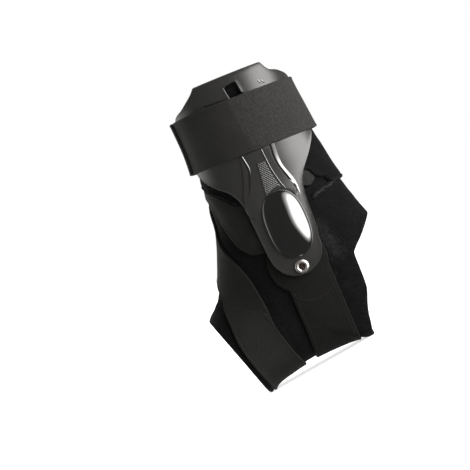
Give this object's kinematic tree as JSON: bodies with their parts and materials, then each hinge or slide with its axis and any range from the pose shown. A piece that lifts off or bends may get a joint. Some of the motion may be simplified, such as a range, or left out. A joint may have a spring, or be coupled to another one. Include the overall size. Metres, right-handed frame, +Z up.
{
  "type": "ankle support brace",
  "caption": "Ankle brace for a right foot: foam sleeve open at toes and heel, riveted hard side shells, stirrup band, oblique elastic strap and wide cuff strap.",
  "frame": {"origin": "middle of the underside, on the surface that the brace stands on", "axes": "+Z up along the leg, -X towards the toes, +X towards the heel, -Y towards the inner (medial) side, +Y towards the outer (lateral) side"},
  "size_m": [0.1518, 0.1002, 0.2349],
  "materials": {
    "velour": "black loop-faced velour",
    "pad_cloth": "smooth grey-olive cloth",
    "webbing": "close black nylon webbing",
    "elastic": "charcoal elastic webbing",
    "shell_plastic": "satin dark charcoal moulding",
    "gloss_plastic": "polished black moulding",
    "chrome": "chromed steel rivet"
  },
  "bodies": {
    "root": {"sleeve": "velour", "collar": "velour", "medial_pad": "pad_cloth", "lateral_pad": "pad_cloth", "stirrup_band": "webbing", "lower_strap": "elastic", "medial_shell": "shell_plastic", "lateral_shell": "shell_plastic", "medial_dome": "gloss_plastic", "lateral_dome": "gloss_plastic", "medial_rivet": "chrome", "lateral_rivet": "chrome", "top_strap": "elastic", "top_strap_end": "elastic"}
  },
  "joints": []
}
